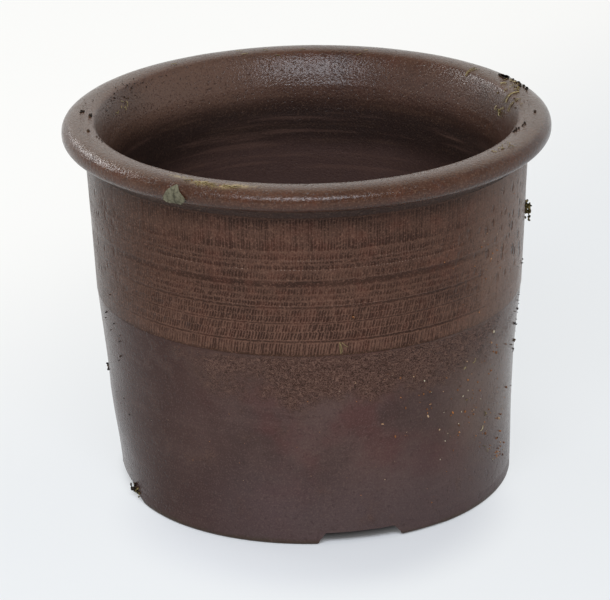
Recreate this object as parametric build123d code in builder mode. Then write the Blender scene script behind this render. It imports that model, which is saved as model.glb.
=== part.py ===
from build123d import *
import os

# Stoneware planter pot in millimetres, +Z up.
# The origin is the middle of the foot, on the ground, and the front is -Y.
# The pot is divided where a potter joins the clay: foot arcs, floor slab,
# lower wall, upper wall and rim coil. Seams are luted, so their faces touch.

# Heights of the members, from the ground up
foot_height = 9.0
lower_wall_height = 141.0
upper_wall_height = 105.0
collar_height = 7.0        # smooth collar between the band and the roll
roll_under = 9.0           # collar's top to the roll's widest point
roll_over = 9.0            # widest point to the crest

# Outside radii
heel_radius = 150.0        # foot, and the wall's lower edge
join_radius = 157.8        # where the two thrown sections meet
neck_radius = 162.6        # top of the upper wall
collar_proud = 0.8         # collar stands out past the neck
roll_proud = 16.6          # roll stands out past the collar
crest_setback = 15.0       # crest lies inside the roll's widest point
lip_flat = 9.0             # how far the crest stays level towards the inside
lip_shoulder_setback = 15.0   # crest in to where the lip turns down
lip_shoulder_drop = 8.0

# Walls and floor
wall_thickness = 11.0
neck_thickening = 7.5      # clay left on the inside towards the rim
wall_hollow = 1.2          # lower wall's dip inside a straight taper
floor_thickness = 13.0
cove_height = 15.0         # clay pressed into the corner of floor and wall
cove_width = 15.0
cove_hollow = 2.5
drain_radius = 12.5

# Chattered band: the wall is trimmed back, and turned grooves divide it
band_relief = 0.6
groove_heights = (11.0, 25.0, 37.0, 55.0, 72.0)   # above the join of the walls
groove_width = 3.2
groove_depth = 0.7

# Luted seams: a ridge on the lower member fits a groove in the upper one
seam_ridge_width = 4.0
seam_ridge_height = 2.5

# Foot ring and its drainage notches
foot_width = 22.0          # at the top of the foot
foot_taper = 4.0           # how much narrower it is on the ground
foot_edge_round = 1.5
notch_width = 64.0         # on the ground
notch_top_width = 50.0
first_notch_angle = -77.0  # from +X, so 13 degrees right of the front
foot_names = ("foot_front_right", "foot_back_right", "foot_back_left", "foot_front_left")

# Places worked out from the sizes above
floor_top = foot_height + floor_thickness
join_height = foot_height + lower_wall_height
neck_height = join_height + upper_wall_height
roll_base = neck_height + collar_height
roll_middle = roll_base + roll_under
crest_height = roll_middle + roll_over
collar_radius = neck_radius + collar_proud
rim_radius = collar_radius + roll_proud
crest_radius = rim_radius - crest_setback
inner_heel_radius = heel_radius - wall_thickness
inner_join_radius = join_radius - wall_thickness
inner_neck_radius = neck_radius - wall_thickness - neck_thickening
notch_pitch = 360 / len(foot_names)

os.makedirs("parts", exist_ok=True)


def inner_radius_at(height):
    """Inside radius of the lower wall, which tapers straight from heel to join."""
    share = (height - foot_height) / lower_wall_height
    return inner_heel_radius + (inner_join_radius - inner_heel_radius) * share


def band_radius_at(rise):
    """Outside radius of the trimmed band at this rise above the join."""
    share = rise / upper_wall_height
    return join_radius + (neck_radius - join_radius) * share - band_relief


def seam_ridge(outer, inner, height):
    """The three points of a seam's ridge, from outside to inside."""
    middle = (outer + inner) / 2
    return [
        (middle + seam_ridge_width / 2, height),
        (middle, height + seam_ridge_height),
        (middle - seam_ridge_width / 2, height),
    ]


def outward(angle):
    """Level direction at this angle from +X."""
    return Vector(1, 0, 0).rotate(Axis.Z, angle)


def section_plane(angle):
    """Upright plane through the axis: x runs outwards at this angle, y runs up."""
    return Plane(origin=(0, 0, 0), x_dir=outward(angle), z_dir=outward(angle - 90))


def notch_plane(angle):
    """Upright plane across the foot at this angle: x runs round it, y runs up."""
    return Plane(origin=(0, 0, 0), x_dir=outward(angle + 90), z_dir=outward(angle))


join_ridge = seam_ridge(join_radius, inner_join_radius, join_height)
neck_ridge = seam_ridge(neck_radius, inner_neck_radius, neck_height)

# Rim coil: collar, outer roll in two quarter ellipses, and a lip that slopes in to the neck
with BuildPart() as rim_coil:
    with BuildSketch(Plane.XZ):
        with BuildLine():
            Polyline((inner_neck_radius, neck_height), *reversed(neck_ridge), (collar_radius, neck_height))
            Line((collar_radius, neck_height), (collar_radius, roll_base))
            EllipticalCenterArc((collar_radius, roll_middle), roll_proud, roll_under, -90, arc_size=90)
            EllipticalCenterArc((crest_radius, roll_middle), crest_setback, roll_over, 0, arc_size=90)
            Bezier(
                (crest_radius, crest_height),
                (crest_radius - lip_flat, crest_height),
                (crest_radius - lip_shoulder_setback, crest_height - lip_shoulder_drop),
                (inner_neck_radius, neck_height),
            )
        make_face()
    revolve(axis=Axis.Z)
rim_coil.part.label = "rim_coil"
export_step(rim_coil.part, "parts/rim_coil.step")

# Upper wall: the trimmed band with its turned grooves
with BuildPart() as upper_wall:
    with BuildSketch(Plane.XZ):
        with BuildLine():
            Polyline(
                (band_radius_at(0), join_height),
                (band_radius_at(upper_wall_height), neck_height),
                *neck_ridge,
                (inner_neck_radius, neck_height),
                (inner_join_radius, join_height),
                *reversed(join_ridge),
                close=True,
            )
        make_face()
    revolve(axis=Axis.Z)
    with BuildSketch(Plane.XZ):
        for rise in groove_heights:
            with Locations((band_radius_at(rise), join_height + rise)):
                Ellipse(groove_depth, groove_width / 2)
    revolve(axis=Axis.Z, mode=Mode.SUBTRACT)
upper_wall.part.label = "upper_wall"
export_step(upper_wall.part, "parts/upper_wall.step")

# Lower wall: smooth, slightly hollow in profile
with BuildPart() as lower_wall:
    with BuildSketch(Plane.XZ):
        with BuildLine():
            SagittaArc((heel_radius, foot_height), (join_radius, join_height), wall_hollow)
            Polyline(
                (join_radius, join_height),
                *join_ridge,
                (inner_join_radius, join_height),
                (inner_heel_radius, foot_height),
                (heel_radius, foot_height),
            )
        make_face()
    revolve(axis=Axis.Z)
lower_wall.part.label = "lower_wall"
export_step(lower_wall.part, "parts/lower_wall.step")

# Floor slab: fits the taper of the wall, with a cove in the corner and a drain hole
cove_top = floor_top + cove_height
with BuildPart() as floor_slab:
    with BuildSketch(Plane.XZ):
        with BuildLine():
            Polyline(
                (inner_radius_at(floor_top) - cove_width, floor_top),
                (0, floor_top),
                (0, foot_height),
                (inner_radius_at(foot_height), foot_height),
                (inner_radius_at(cove_top), cove_top),
            )
            SagittaArc(
                (inner_radius_at(cove_top), cove_top),
                (inner_radius_at(floor_top) - cove_width, floor_top),
                cove_hollow,
            )
        make_face()
    revolve(axis=Axis.Z)
    with Locations((0, 0, floor_top)):
        Hole(radius=drain_radius)
floor_slab.part.label = "floor_slab"
export_step(floor_slab.part, "parts/floor_slab.step")

# Feet: what the notches leave of the foot ring
for index, foot_name in enumerate(foot_names):
    start_angle = first_notch_angle + index * notch_pitch
    with BuildPart() as foot:
        with BuildSketch(section_plane(start_angle)):
            with BuildLine():
                Polyline(
                    (heel_radius - foot_width + foot_taper, 0),
                    (heel_radius, 0),
                    (heel_radius, foot_height),
                    (heel_radius - foot_width, foot_height),
                    close=True,
                )
            make_face()
            fillet(vertices().group_by(Axis.Y)[0], foot_edge_round)
        revolve(axis=Axis.Z, revolution_arc=notch_pitch)
        for notch_angle in (start_angle, start_angle + notch_pitch):
            with BuildSketch(notch_plane(notch_angle)):
                with BuildLine():
                    Polyline(
                        (-notch_width / 2, 0),
                        (notch_width / 2, 0),
                        (notch_top_width / 2, foot_height),
                        (-notch_top_width / 2, foot_height),
                        close=True,
                    )
                make_face()
            extrude(amount=heel_radius + foot_width, mode=Mode.SUBTRACT)
    foot.part.label = foot_name
    export_step(foot.part, f"parts/{foot_name}.step")
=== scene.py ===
from math import asin, cos, degrees, pi, radians, sin

import bpy
import numpy as np
from mathutils import Matrix, Vector


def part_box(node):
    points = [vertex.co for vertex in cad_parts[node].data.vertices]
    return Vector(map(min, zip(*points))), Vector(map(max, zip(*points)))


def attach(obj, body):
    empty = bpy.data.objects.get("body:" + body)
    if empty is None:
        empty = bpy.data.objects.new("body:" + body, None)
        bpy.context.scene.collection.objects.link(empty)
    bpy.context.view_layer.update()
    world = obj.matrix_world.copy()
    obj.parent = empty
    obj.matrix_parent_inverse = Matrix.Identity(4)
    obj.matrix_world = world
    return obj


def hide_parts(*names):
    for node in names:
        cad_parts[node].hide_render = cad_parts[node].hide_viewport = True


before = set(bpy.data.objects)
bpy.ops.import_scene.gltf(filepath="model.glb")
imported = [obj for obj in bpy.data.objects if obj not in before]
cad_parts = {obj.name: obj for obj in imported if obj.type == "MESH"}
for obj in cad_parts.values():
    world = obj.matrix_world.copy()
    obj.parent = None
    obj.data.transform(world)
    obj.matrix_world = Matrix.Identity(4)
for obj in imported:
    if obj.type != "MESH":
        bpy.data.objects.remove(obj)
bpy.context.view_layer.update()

# Round stoneware planter pot, thrown in two halves, with a rolled rim.
# Sizes are in millimetres unless a note says otherwise. Angles are in degrees,
# 0 at the front of the pot and growing towards its right side.
mm = 0.001
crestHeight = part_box("rim_coil")[1].z / mm
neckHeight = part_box("rim_coil")[0].z / mm
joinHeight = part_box("upper_wall")[0].z / mm
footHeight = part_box("lower_wall")[0].z / mm
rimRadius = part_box("rim_coil")[1].x / mm

scene = bpy.context.scene
scene.view_settings.view_transform = "Standard"


# helpers that add nodes
def addNode(tree, kind, values=None, **settings):
    node = tree.nodes.new(kind)
    for key, value in settings.items():
        setattr(node, key, value)
    for key, value in (values or {}).items():
        if isinstance(value, bpy.types.NodeSocket):
            tree.links.new(value, node.inputs[key])
        else:
            node.inputs[key].default_value = value
    return node


def addAfter(kind, values, **settings):
    # adds a node to the tree that its first linked value comes from
    tree = next(value.id_data for value in values.values() if isinstance(value, bpy.types.NodeSocket))
    return addNode(tree, kind, values, **settings)


def maths(operation, *values):
    return addAfter("ShaderNodeMath", dict(enumerate(values)), operation=operation).outputs[0]


def times(value, *others):
    for other in others:
        value = maths("MULTIPLY", value, other)
    return value


def minus(a, b):
    return maths("SUBTRACT", a, b)


def vectorMaths(operation, a, b=None, **named):
    values = {0: a, **({} if b is None else {1: b}), **named}
    node = addAfter("ShaderNodeVectorMath", values, operation=operation)
    return node.outputs["Value" if operation in ("LENGTH", "DISTANCE") else "Vector"]


def stretched(place, across, up):
    return vectorMaths("MULTIPLY", place, (across, across, up))


def noiseOf(place, scale, detail=2.0, roughness=0.5, distortion=0.0):
    return addAfter("ShaderNodeTexNoise", {"Vector": place, "Scale": scale, "Detail": detail,
                                           "Roughness": roughness, "Distortion": distortion}).outputs["Fac"]


def evenNoise(*settings):
    # noise that is as often below zero as above it
    return minus(noiseOf(*settings), 0.5)


def ramp(value, low, high, toLow=0.0, toHigh=1.0, smooth=True):
    node = addAfter("ShaderNodeMapRange", {"Value": value, "From Min": low, "From Max": high,
                                           "To Min": toLow, "To Max": toHigh},
                    interpolation_type="SMOOTHSTEP" if smooth else "LINEAR")
    return node.outputs["Result"]


def blendColour(share, a, b):
    tree = share.id_data      # the tree that this socket is in
    node = addNode(tree, "ShaderNodeMix", data_type="RGBA")
    for key, value in (("Factor", share), ("A", a), ("B", b)):
        socket = next(s for s in node.inputs if s.name == key and (key == "Factor" or s.type == "RGBA"))
        if isinstance(value, bpy.types.NodeSocket):
            tree.links.new(value, socket)
        else:
            socket.default_value = value
    return next(s for s in node.outputs if s.type == "RGBA")


def bumpOf(height, strength, distance, **under):
    # distance in metres; under is the normal of an earlier bump
    values = {"Height": height, "Strength": strength, "Distance": distance, **under}
    return addAfter("ShaderNodeBump", values).outputs[0]


def rgb(red, green, blue):
    # 0 to 255 as on a colour chart, to Blender's linear colour
    def linear(channel):
        channel /= 255
        return channel / 12.92 if channel <= 0.04045 else ((channel + 0.055) / 1.055) ** 2.4
    return (linear(red), linear(green), linear(blue), 1.0)


def attributeOf(tree, name):
    return addNode(tree, "ShaderNodeAttribute", attribute_name=name).outputs["Fac"]


def fieldOf(tree, name, kind="FLOAT"):
    return addNode(tree, "GeometryNodeInputNamedAttribute", {"Name": name}, data_type=kind).outputs[0]


def clipped(share):
    return np.clip(share, 0, 1)


def eased(share):
    return share * share * (3 - 2 * share)


def polar(columns):
    # so many turns about the upright axis, in radians from the pot's right side
    return np.arange(columns) * 2 * pi / columns


def frontAngles(columns):
    # the same turns in degrees from the front
    return np.degrees(polar(columns)) + 90


def turned(angle, radius, height):
    return (radius * sin(radians(angle)), -radius * cos(radians(angle)), height)


# how the wheel and the hands left the pot uneven
potShape = {
    "tuckAngle": -82, "tuckSpread": 27, "tuckDepth": 5.0, "tuckTop": 75,
    "fullAngle": 50, "fullSpread": 42, "fullness": 2.2, "fullTop": 110,
    "wide": 1.1, "wideLow": 90, "wideFade": 50, "wideHigh": 256, "wideBeyond": 152, "flatFront": 0.25,
    "fullyUneven": 120,     # nearer the middle than this the pot is truer
}


def bell(angle, middle, spread):
    away = (angle - middle + 180) % 360 - 180
    return np.exp(-(away / spread) ** 2)


def bells(angle, places):
    return sum(amount * bell(angle, middle, spread) for middle, spread, amount in places)


def fadeBelow(height, top):
    return eased(clipped(1 - height / top))


def handThrown(points):
    # the slow unevenness of a pot turned by hand, the same for every piece
    shape = potShape
    x, y, z = points.T
    angle, radius = np.degrees(np.arctan2(x, -y)), np.hypot(x, y)
    tuck = bell(angle, shape["tuckAngle"], shape["tuckSpread"])
    full = bell(angle, shape["fullAngle"], shape["fullSpread"])
    push = -shape["tuckDepth"] * tuck * fadeBelow(z, shape["tuckTop"])
    push += shape["fullness"] * full * fadeBelow(z, shape["fullTop"])
    across = np.sin(np.radians(angle)) ** 2
    belly = clipped((z - shape["wideLow"]) / shape["wideFade"])
    belly *= (z < shape["wideHigh"]) * (radius > shape["wideBeyond"])
    push += shape["wide"] * across * belly - shape["flatFront"] * (1 - across)
    push *= clipped(radius / shape["fullyUneven"])
    grow = np.where(radius > 1, (radius + push) / np.maximum(radius, 1), 1)
    return np.column_stack([x * grow, y * grow, z])


insideShape = {
    "join": 146.8, "neck": 144.1, "tuckIn": 2.4, "tuckFall": 7.0, "tuckLow": 190, "tuckHigh": 236,
    # middle, half width and height of each throwing ridge
    "ridges": [(245.5, 2.2, 0.5), (213, 3.5, 0.7), (197, 4.0, 0.8), (228, 6.0, 0.3)],
    "deepBelow": 5, "deepWithin": 20, "endFade": 2,
}


def upTheBand(height):
    return (height - joinHeight) / (neckHeight - joinHeight)


def insideRadius(height):
    # the neck goes on narrowing below the lip, then the wall opens out again
    height = np.asarray(height, float)
    radius = insideShape["join"] + (insideShape["neck"] - insideShape["join"]) * upTheBand(height)
    rise = clipped((height - insideShape["tuckLow"]) / (insideShape["tuckHigh"] - insideShape["tuckLow"]))
    below = np.clip(neckHeight - height, 0, None)
    radius -= insideShape["tuckIn"] * (1 - np.exp(-below / insideShape["tuckFall"])) * eased(rise)
    for middle, half, tall in insideShape["ridges"]:
        radius -= tall * np.exp(-((height - middle) / half) ** 2)
    return radius


# meshes turned about the upright axis
def faceRun(points, inside=0.0):
    # one glazed face in section: radius, height, square-out direction, inside or not
    points = np.array(points, float)
    along = np.gradient(points, axis=0)
    out = np.column_stack([along[:, 1], -along[:, 0]])
    out /= np.linalg.norm(out, axis=1)[:, None]
    return np.column_stack([points, out, np.full(len(points), inside)])


def spinRun(run, angles):
    # angles has one row for each point of the run, or one row for all
    angles = np.broadcast_to(angles, (len(run), np.shape(angles)[-1]))
    east, north = np.cos(angles), np.sin(angles)

    def spun(k):
        up = np.broadcast_to(run[:, k + 1:k + 2], east.shape)
        return np.stack([run[:, k:k + 1] * east, run[:, k:k + 1] * north, up], -1).reshape(-1, 3)
    return spun(0), spun(2), np.broadcast_to(run[:, 4:5], east.shape).reshape(-1)


def gridFaces(start, rows, columns):
    firsts = start + np.arange(rows - 1)[:, None] * columns
    lower, right = firsts + np.arange(columns), firsts + (np.arange(columns) + 1) % columns
    return np.stack([lower, right, right + columns, lower + columns], -1).reshape(-1, 4).tolist()


def jointFaces(outerStart, outerCount, innerStart, innerCount, upwards):
    # the flat joint face between an outer ring and an inner ring with fewer points
    per = outerCount // innerCount
    faces = []
    for j in range(innerCount):
        face = [outerStart + (per * j + i) % outerCount for i in range(per + 1)]
        face += [innerStart + (j + 1) % innerCount, innerStart + j]
        faces.append(face if upwards else face[::-1])
    return faces


def makeObject(name, spots, faces, values, smoothAngle=55, edges=()):
    mesh = bpy.data.meshes.new(name)
    mesh.from_pydata((handThrown(np.asarray(spots, float)) * mm).tolist(), list(edges), faces)
    for key, value in values.items():
        kind, field = ("FLOAT_VECTOR", "vector") if np.ndim(value) == 2 else ("FLOAT", "value")
        mesh.attributes.new(key, kind, "POINT").data.foreach_set(field, np.ravel(value).astype(np.float32))
    mesh.validate()
    mesh.shade_smooth()
    mesh.set_sharp_from_angle(angle=radians(smoothAngle))
    thing = bpy.data.objects.new(name, mesh)
    scene.collection.objects.link(thing)
    return thing


def shellOf(name, outer, inner, outerAngles, innerColumns, extra, smoothAngle=55, lift=0.0):
    # a closed wall: outer face going up, inner face going down, flat joints at both ends
    outerColumns = np.shape(outerAngles)[-1]
    outerSpots, outerPush, outerInside = spinRun(outer, outerAngles)
    endGap = np.minimum(inner[:, 1].max() - inner[:, 1], inner[:, 1] - inner[:, 1].min())
    inner[:, 2:4] *= clipped(endGap / insideShape["endFade"])[:, None]      # both ends stay true
    innerSpots, innerPush, innerInside = spinRun(inner, polar(innerColumns))
    outerSpots[:, 2] += np.ravel(lift)
    start = len(outerSpots)
    faces = gridFaces(0, len(outer), outerColumns) + gridFaces(start, len(inner), innerColumns)
    faces += jointFaces((len(outer) - 1) * outerColumns, outerColumns, start, innerColumns, True)
    faces += jointFaces(0, outerColumns, start + (len(inner) - 1) * innerColumns, innerColumns, False)
    values = {"push": np.vstack([outerPush, innerPush]), "inside": np.concatenate([outerInside, innerInside])}
    for key, value in extra.items():
        values[key] = np.concatenate([np.ravel(value), np.zeros(len(innerSpots))])
    # how far down the inside of the pot
    deep = clipped((neckHeight - insideShape["deepBelow"] - inner[:, 1]) / insideShape["deepWithin"])
    values["deep"] = np.concatenate([np.zeros(len(outerSpots)), deep.repeat(innerColumns)])
    values["steep"] = values["inside"]
    return makeObject(name, np.vstack([outerSpots, innerSpots]), faces, values, smoothAngle)


# the clay surface is a Geometry Nodes tree shared by every fired piece
def newGeometryTree(name, inputs):
    tree = bpy.data.node_groups.new(name, "GeometryNodeTree")
    tree.interface.new_socket("Geometry", in_out="INPUT", socket_type="NodeSocketGeometry")
    tree.interface.new_socket("Geometry", in_out="OUTPUT", socket_type="NodeSocketGeometry")
    for label, kind, value in inputs:
        socket = tree.interface.new_socket(label, in_out="INPUT", socket_type="NodeSocket" + kind)
        if value is not None:
            socket.default_value = value
    return tree, tree.nodes.new("NodeGroupInput").outputs, tree.nodes.new("NodeGroupOutput")


def bakeTree(thing, tree, values):
    # runs the tree on the object and keeps the result as its plain mesh
    modifier = thing.modifiers.new(tree.name, "NODES")
    modifier.node_group = tree
    for item in tree.interface.items_tree:
        if item.in_out == "INPUT" and item.name in values:
            modifier[item.identifier] = values[item.name]
    graph = bpy.context.evaluated_depsgraph_get()
    made = bpy.data.meshes.new_from_object(thing.evaluated_get(graph), preserve_all_data_layers=True,
                                           depsgraph=graph)
    thing.modifiers.remove(modifier)
    old = thing.data
    thing.data = made
    bpy.data.meshes.remove(old)
    made.name = thing.name
    return thing


def fired(thing, sizes, glaze, lining, others=None):
    # the clay surface in the piece's own sizes, under its glaze
    values = {"Glaze": glaze, "Inside Glaze": lining, **(others or {})}
    for kind in ("Swell", "Ring", "Peel"):
        values[kind + " Size"], values[kind + " Height"] = (length * mm for length in sizes[kind.lower()])
    return bakeTree(thing, clay, values)


# stretches are across and up; edges are where the noise starts and ends to show
claySkin = {
    "ringStretch": (0.06, 1.0), "foldStretch": (1.0, 1.7), "foldTwist": 1.6, "foldWidth": 0.1,
    # how deep each stroke bites by itself, and how its patch and its chips change that
    "ownBite": (0.55, 1.2), "patchBite": (0.6, 1.3),
    "patchStretch": (1.0, 2.2), "patchEdges": (0.36, 0.66), "chipEdges": (0.35, 0.65), "insideFrom": 0.9,
}


def clayTree(skin):
    # slow swell, throwing rings and the fine skin of the glaze, pushed square to the face
    tree, given, result = newGeometryTree("claySurface", [
        ("Swell Size", "Float", 0.05), ("Swell Height", "Float", 0.0003),
        ("Ring Size", "Float", 0.004), ("Ring Height", "Float", 0.0001),
        ("Peel Size", "Float", 0.004), ("Peel Height", "Float", 0.00006),
        ("Bite Depth", "Float", 0.0), ("Patch Size", "Float", 0.012), ("Chip Size", "Float", 0.003),
        ("Wrinkle Size", "Float", 0.004), ("Wrinkle Height", "Float", 0.0),
        ("Seed", "Int", 1), ("Glaze", "Material", None), ("Inside Glaze", "Material", None)])
    place = addNode(tree, "GeometryNodeInputPosition").outputs[0]

    def scaleOf(kind):
        return maths("DIVIDE", 1.0, given[kind + " Size"])

    def relief(kind, spot, detail):
        return times(evenNoise(spot, scaleOf(kind), detail), given[kind + " Height"])

    rings = relief("Ring", stretched(place, *skin["ringStretch"]), 2.0)
    lift = maths("ADD", relief("Swell", place, 1.0), rings)
    lift = maths("ADD", lift, relief("Peel", place, 2.0))

    # glaze that crawled into wrinkles where it ran thick
    folded = stretched(place, *skin["foldStretch"])
    folds = maths("ABSOLUTE", evenNoise(folded, scaleOf("Wrinkle"), 1.0, 0.5, skin["foldTwist"]))
    folds = ramp(folds, 0.0, skin["foldWidth"])
    lift = minus(lift, times(fieldOf(tree, "crawled"), folds, given["Wrinkle Height"]))

    # the chattered strokes: each its own depth, in patches that come and go
    number = addNode(tree, "FunctionNodeFloatToInt", {0: fieldOf(tree, "strokeNumber")}).outputs[0]
    own = addNode(tree, "FunctionNodeRandomValue", {
        "ID": number, "Seed": given["Seed"], 2: skin["ownBite"][0], 3: skin["ownBite"][1]}, data_type="FLOAT")
    patches = noiseOf(stretched(place, *skin["patchStretch"]), scaleOf("Patch"), 2.0)
    patches = ramp(patches, *skin["patchEdges"], *skin["patchBite"])
    chips = ramp(noiseOf(place, scaleOf("Chip"), 1.0), *skin["chipEdges"], *skin["patchBite"])
    cut = times(fieldOf(tree, "stroke"), own.outputs[1], times(patches, chips))
    lift = minus(lift, times(cut, given["Bite Depth"]))
    lift = minus(lift, times(fieldOf(tree, "groove"), mm))

    push = vectorMaths("SCALE", fieldOf(tree, "push", "FLOAT_VECTOR"), Scale=lift)
    moved = addNode(tree, "GeometryNodeSetPosition", {"Geometry": given["Geometry"], "Offset": push})
    kept = addNode(tree, "GeometryNodeStoreNamedAttribute", {
        "Geometry": moved.outputs[0], "Name": "cut", "Value": cut}, data_type="FLOAT", domain="POINT")
    whole = addNode(tree, "GeometryNodeRealizeInstances", {"Geometry": kept.outputs[0]})
    dressed = addNode(tree, "GeometryNodeSetMaterial", {
        "Geometry": whole.outputs[0], "Material": given["Glaze"]})
    lined = addNode(tree, "GeometryNodeSetMaterial", {
        "Geometry": dressed.outputs[0], "Material": given["Inside Glaze"],
        "Selection": maths("GREATER_THAN", fieldOf(tree, "inside"), skin["insideFrom"])})
    tree.links.new(lined.outputs[0], result.inputs[0])
    return tree


clay = clayTree(claySkin)
print("clay surface tree ready")


# what every glaze has in common; depths are in metres
glazeSkin = {
    "cloudEdges": (0.36, 0.64), "warmAway": (3.1, 1.7, 0.4), "warmEdges": (0.46, 0.66),
    "driftScale": 16.0, "breakWidth": 0.12, "streakStretch": (14.0, 160.0), "streakEdges": (0.5, 0.75),
    "mottleMiddle": 0.5, "mottleEdges": {"light": 0.68, "dark": 0.32}, "quiet": 0.6,
    "pitEdges": (0.58, 0.7), "pitBump": (0.7, 0.0003), "ringStretch": (8.0, 150.0), "ringGlintEdges": (0.5, 0.72),
    "glossEdges": (0.3, 0.7), "skinDepth": 0.0006, "grainDepth": 0.0003, "grainFiner": 2.7,
}


def newMaterial(name):
    material = bpy.data.materials.new(name)
    material.use_nodes = True
    tree = material.node_tree
    tree.nodes.clear()
    output = tree.nodes.new("ShaderNodeOutputMaterial")
    shader = tree.nodes.new("ShaderNodeBsdfPrincipled")
    tree.links.new(shader.outputs[0], output.inputs[0])
    return material, tree, shader, addNode(tree, "ShaderNodeTexCoord").outputs["Object"]


def tintedGlaze(tree, look, place):
    # clouds of thick and thin glaze
    cloud = noiseOf(place, look["cloudScale"], 3.0, 0.55)
    colour = blendColour(ramp(cloud, *glazeSkin["cloudEdges"]), look["dark"], look["base"])
    warmth = noiseOf(vectorMaths("ADD", place, glazeSkin["warmAway"]), look["warmScale"], 3.0, 0.6)
    warmth = ramp(warmth, *glazeSkin["warmEdges"], 0.0, look["warmShare"])
    colour = blendColour(warmth, colour, look["warm"])

    # the tint of each side and level of the pot, with a wandering edge
    parts = addNode(tree, "ShaderNodeSeparateXYZ", {0: place}).outputs
    axes = {"right": parts["X"], "height": parts["Z"], "sides": maths("ABSOLUTE", parts["X"])}
    drift = evenNoise(place, glazeSkin["driftScale"], 4.0, 0.6)
    for axis, start, end, wander, share, tint, *limits in look["zones"]:
        along = maths("MULTIPLY_ADD", drift, wander * mm, axes[axis])
        mask = ramp(along, start * mm, end * mm, 0.0, share)
        for attribute in limits[:1]:
            mask = times(mask, attributeOf(tree, attribute))
        for scale, least in limits[1:]:
            breaks = noiseOf(place, scale, 4.0, 0.65)
            mask = times(mask, ramp(breaks, least, least + glazeSkin["breakWidth"]))
        colour = blendColour(mask, colour, tint)
    return colour


def quietInside(tree):
    # marks are fainter down inside the pot
    return maths("MULTIPLY_ADD", attributeOf(tree, "deep"), -glazeSkin["quiet"], 1.0)


def mottledGlaze(tree, look, place, colour):
    # streaks left by the hand, then the mottle of the fired glaze
    streak = noiseOf(stretched(place, *glazeSkin["streakStretch"]), 1.0, 3.0, 0.6)
    streak = ramp(streak, *glazeSkin["streakEdges"], 0.0, look["streaks"])
    colour = blendColour(streak, colour, look["light"])
    fine = noiseOf(place, look["mottleScale"], 3.0, 0.7)
    for tint, edge in glazeSkin["mottleEdges"].items():
        mask = ramp(fine, glazeSkin["mottleMiddle"], edge, 0.0, look["mottle"])
        colour = blendColour(times(mask, quietInside(tree)), colour, look[tint])
    return colour


def plainSkin(tree, look, place):
    skin = noiseOf(place, look["peelScale"], 2.0, 0.5)
    grain = noiseOf(place, look["peelScale"] * glazeSkin["grainFiner"], 2.0, 0.6)
    normal = bumpOf(skin, look["peel"], glazeSkin["skinDepth"])
    return bumpOf(grain, look["grain"], glazeSkin["grainDepth"], Normal=normal)


def addDimples(tree, look, place, colour, normal):
    # marks a few millimetres across where the tool skipped
    cell = addNode(tree, "ShaderNodeTexVoronoi", {
        "Vector": stretched(place, *look["dimpleStretch"]), "Scale": 1 / look["dimpleSize"],
        "Randomness": look["dimpleScatter"]})
    chosen = addNode(tree, "ShaderNodeSeparateColor", {0: cell.outputs["Color"]}).outputs[0]
    reach = ramp(chosen, 0.0, look["dimplesFull"], *look["dimpleReach"], smooth=False)
    dimples = ramp(minus(reach, cell.outputs["Distance"]), 0.0, look["dimpleEdge"])
    dimples = times(dimples, attributeOf(tree, "skipped"))
    colour = blendColour(times(dimples, look["dimpleShare"]), colour, look["cutDark"])
    return colour, bumpOf(minus(1.0, dimples), 1.0, look["dimpleDepth"] * mm, Normal=normal)


def addStrokes(tree, look, place, colour, normal):
    # glaze pools dark in cuts and grooves, breaks light on the lands; painted highlights on the ledge beads
    cut, groove = attributeOf(tree, "cut"), attributeOf(tree, "groove")
    height = addNode(tree, "ShaderNodeSeparateXYZ", {0: place}).outputs["Z"]
    scratch = noiseOf(stretched(place, *look["scratchStretch"]), look["scratchScale"], 3.0, 0.7)
    wornTop, wornLow = (h * mm for h in look["wornHeights"])
    land = times(ramp(cut, *look["landEdges"]), ramp(height, wornTop, wornLow, *look["landShares"]),
                 ramp(groove, *look["landGroove"]), ramp(scratch, *look["landScratch"]),
                 attributeOf(tree, "worked"))
    colour = blendColour(land, colour, look["light"])
    pooled = ramp(cut, *look["cutEdges"], 0.0, look["cutShare"])
    pooled = times(pooled, ramp(scratch, *look["cutScratch"]))
    colour = blendColour(pooled, colour, look["cutDark"])
    dark = ramp(groove, *look["grooveEdges"], 0.0, look["grooveShare"])
    colour = blendColour(dark, colour, look["dark"])
    # painted highlight: light glints along the beads of glaze on the ledges
    beadGlints = noiseOf(stretched(place, *look["beadStretch"]), look["beadScale"], 3.0)
    beadGlints = ramp(beadGlints, *look["beadEdges"], *look["beadShares"])
    beadGlints = times(ramp(attributeOf(tree, "bead"), *look["beadCore"]), beadGlints)
    return blendColour(beadGlints, colour, look["bead"]), normal


def addPits(tree, look, place, colour, normal):
    pits = ramp(noiseOf(place, look["pitScale"], 2.0, 0.6), *glazeSkin["pitEdges"])
    pits = times(pits, quietInside(tree))
    colour = blendColour(times(pits, look["pitShare"]), colour, look["pitColour"])
    return colour, bumpOf(minus(1.0, pits), *glazeSkin["pitBump"], Normal=normal)


def addRingGlints(tree, look, place, colour, normal):
    # painted highlight: light streaks along the throwing rings down inside the pot
    rings = noiseOf(stretched(place, *glazeSkin["ringStretch"]), 1.0, 3.0, 0.6)
    rings = ramp(rings, *glazeSkin["ringGlintEdges"], 0.0, look["ringShare"])
    return blendColour(times(rings, attributeOf(tree, "deep")), colour, look["ringColour"]), normal


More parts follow.
